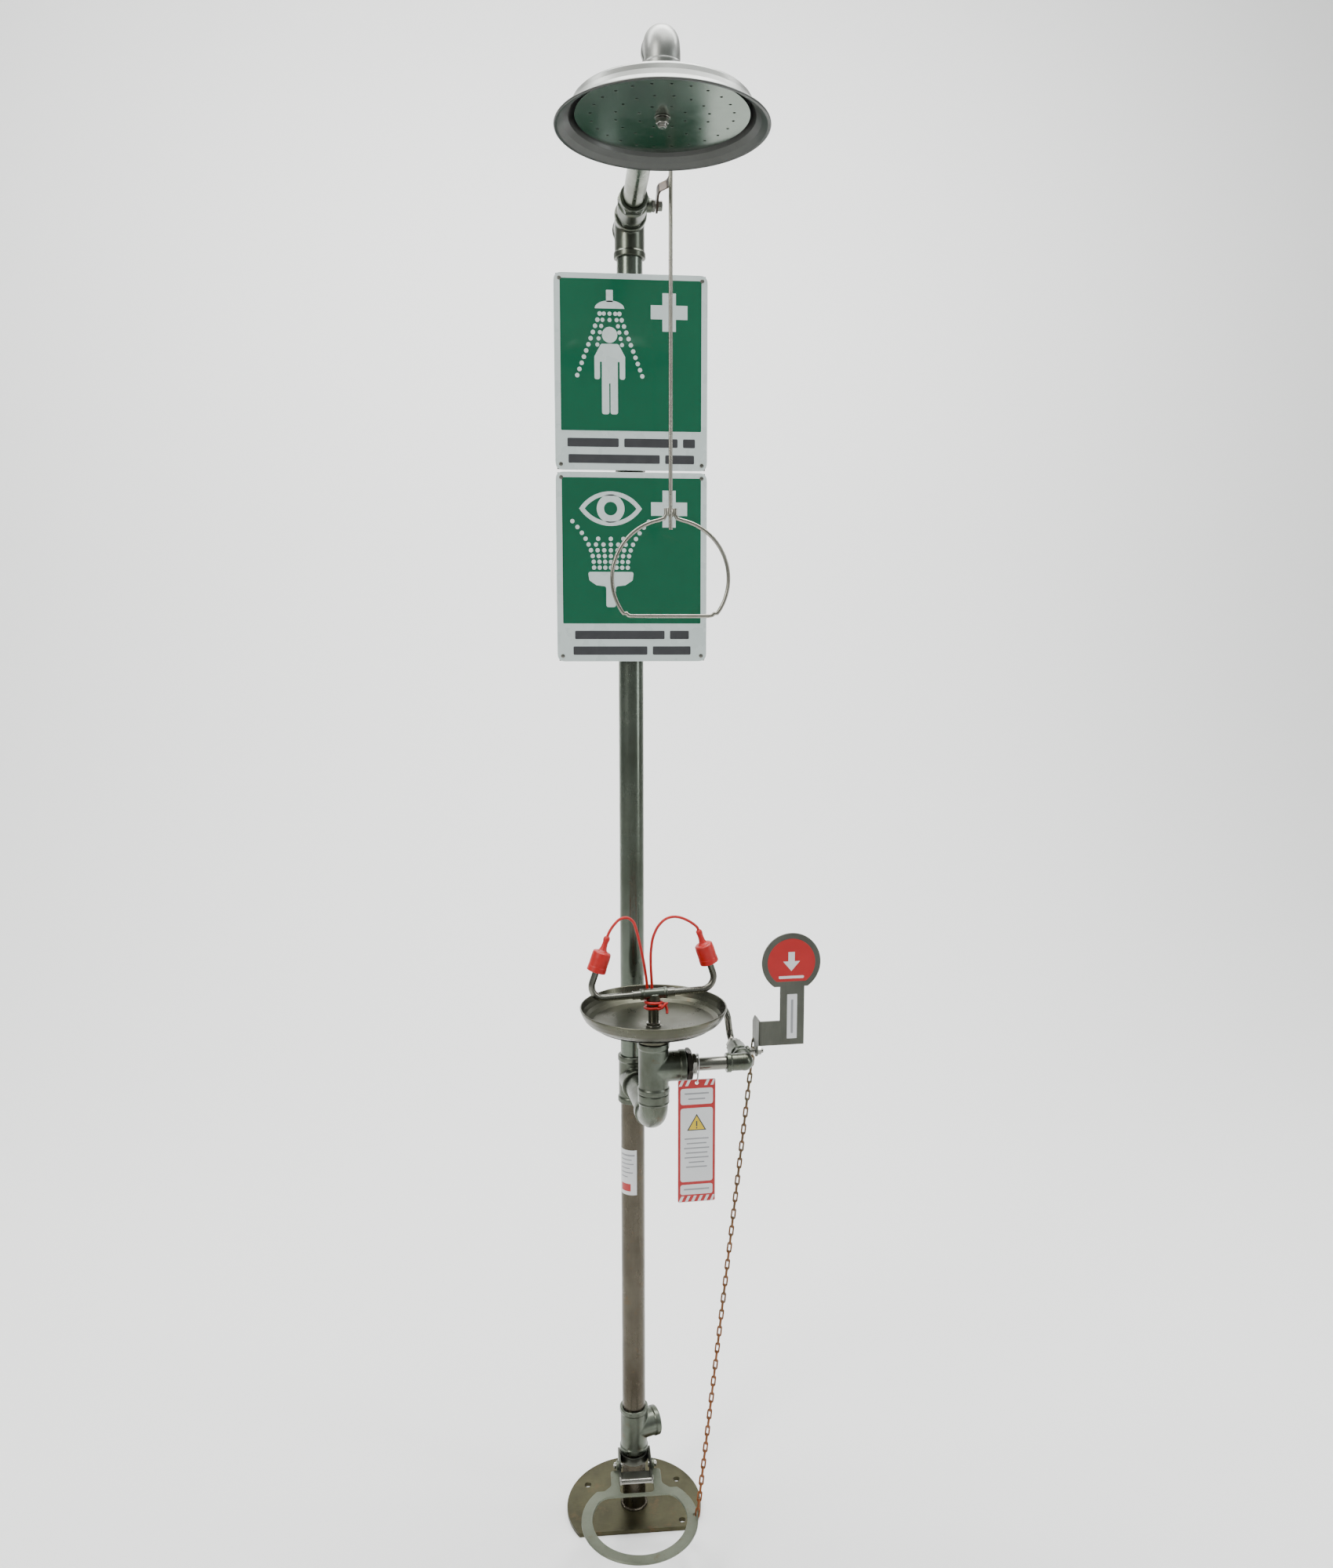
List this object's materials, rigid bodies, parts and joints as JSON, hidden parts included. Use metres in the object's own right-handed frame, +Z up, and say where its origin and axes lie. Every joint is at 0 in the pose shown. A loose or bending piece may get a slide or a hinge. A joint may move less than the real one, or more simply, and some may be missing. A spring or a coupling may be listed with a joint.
{
  "type": "eyewash station",
  "caption": "Floor-standing stainless eyewash and drench shower on one pole: bowl with twin capped nozzles, push paddle and foot pedal on a chain, pull-rod shower and two signs.",
  "frame": {"origin": "centre of the base plate's underside, on the pole's axis", "axes": "+Z up along the pole, -Y towards the shower head and the user, +X to the user's right when facing the signs"},
  "size_m": [0.4301, 0.8534, 2.3994],
  "materials": {
    "stainless_pipe": "brushed",
    "cast_stainless": "satin",
    "stainless_sheet": "brushed",
    "bushing_steel": "satin",
    "dark_lever": "satin",
    "bright_fasteners": "polished",
    "valve_seat_plastic": "matte",
    "red_plastic": "matte",
    "sign_green": "gloss",
    "tag_plastic": "gloss",
    "tie_plastic": "gloss",
    "chain_steel": "satin"
  },
  "bodies": {
    "stand": {"base_plate": "stainless_sheet", "base_stub": "stainless_pipe", "boss_nut": "cast_stainless", "bowl_funnel": "stainless_sheet", "bowl_tee": "cast_stainless", "branch_bushing": "bushing_steel", "eyewash_bowl": "stainless_sheet", "eyewash_sign": "sign_green", "eyewash_valve_body": "cast_stainless", "face_plate_bolt": "bright_fasteners", "face_plate_nut": "bright_fasteners", "feed_elbow": "cast_stainless", "feed_line_nuts": "cast_stainless", "feed_pipe": "stainless_pipe", "feed_tube": "stainless_pipe", "gland_nuts": "cast_stainless", "left_strap": "red_plastic", "lower_waste_pipe": "stainless_pipe", "partition_plug": "bright_fasteners", "pedal_bracket": "stainless_sheet", "pedal_hinge_bolts": "bright_fasteners", "pole_tee": "cast_stainless", "right_strap": "red_plastic", "riser_nut": "cast_stainless", "shower_arm": "stainless_pipe", "shower_elbow": "cast_stainless", "shower_face_plate": "stainless_sheet", "shower_head": "stainless_sheet", "shower_sign": "sign_green", "shower_valve_body": "cast_stainless", "sign_brackets": "stainless_sheet", "sign_rivets": "bright_fasteners", "spray_arms": "stainless_pipe", "spray_nozzles": "bright_fasteners", "spray_tee": "cast_stainless", "strap_knot": "red_plastic", "supply_inlet_tee": "cast_stainless", "supply_pipe": "stainless_pipe", "supply_riser": "stainless_pipe", "tag_tie": "tie_plastic", "valve_seats": "valve_seat_plastic", "waste_elbow": "cast_stainless", "waste_nipple": "stainless_pipe", "waste_outlet_tee": "cast_stainless"},
    "shower_lever": {"shower_lever": "dark_lever", "shower_valve_stem": "bright_fasteners", "shower_valve_ball": "bright_fasteners", "lever_nut": "bright_fasteners"},
    "pull_rod": {"pull_rod": "bright_fasteners", "pull_handle": "bright_fasteners"},
    "push_paddle": {"push_paddle": "stainless_sheet", "eyewash_valve_stem": "bright_fasteners", "eyewash_valve_ball": "bright_fasteners", "paddle_nut": "bright_fasteners"},
    "pull_chain": {"pull_chain": "chain_steel"},
    "foot_pedal": {"foot_pedal": "stainless_sheet", "pedal_stop_bar": "stainless_sheet"},
    "left_dust_cap": {"left_dust_cap": "red_plastic"},
    "right_dust_cap": {"right_dust_cap": "red_plastic"},
    "inspection_tag": {"inspection_tag": "tag_plastic"}
  },
  "joints": [
    {"name": "shower_lever_turn", "type": "hinge", "parent": "stand", "child": "shower_lever", "pos_m": [0.03, -0.075, 2.292], "axis": [1, 0, 0], "range_deg": [0, 90]},
    {"name": "pull_rod_pivot", "type": "hinge", "parent": "shower_lever", "child": "pull_rod", "pos_m": [0.0495, -0.18991, 2.38842], "axis": [1, 0, 0], "range_deg": [-90, 0]},
    {"name": "push_paddle_turn", "type": "hinge", "parent": "stand", "child": "push_paddle", "pos_m": [0.20102, -0.12603, 0.925], "axis": [-0.9976, -0.0698, 0], "range_deg": [0, 90]},
    {"name": "pull_chain_slide", "type": "slide", "parent": "stand", "child": "pull_chain", "axis": [-0.1184, -0.0559, -0.9914], "range_m": [0, 0.031], "deforming": ["pull_chain"]},
    {"name": "foot_pedal_turn", "type": "hinge", "parent": "stand", "child": "foot_pedal", "pos_m": [0, -0.03, 0.107], "axis": [1, 0, 0], "range_deg": [0, 14]},
    {"name": "left_dust_cap_lift", "type": "slide", "parent": "stand", "child": "left_dust_cap", "axis": [0.3196, 0.0621, 0.9455], "range_m": [0, 0.03], "deforming": ["left_strap"]},
    {"name": "right_dust_cap_lift", "type": "slide", "parent": "stand", "child": "right_dust_cap", "axis": [-0.3196, -0.0621, 0.9455], "range_m": [0, 0.03], "deforming": ["right_strap"]},
    {"name": "inspection_tag_swing", "type": "hinge", "parent": "stand", "child": "inspection_tag", "pos_m": [0.0905, -0.20854, 0.905], "axis": [-0.9976, -0.0698, 0], "range_deg": [-15, 35]}
  ],
  "couplings": [
    {"joint": "pull_rod_pivot", "follows": "shower_lever_turn", "ratio": -1},
    {"joint": "pull_chain_slide", "follows": "push_paddle_turn", "m_per_rad": 0.01923},
    {"joint": "foot_pedal_turn", "follows": "push_paddle_turn", "ratio": 0.1522}
  ]
}
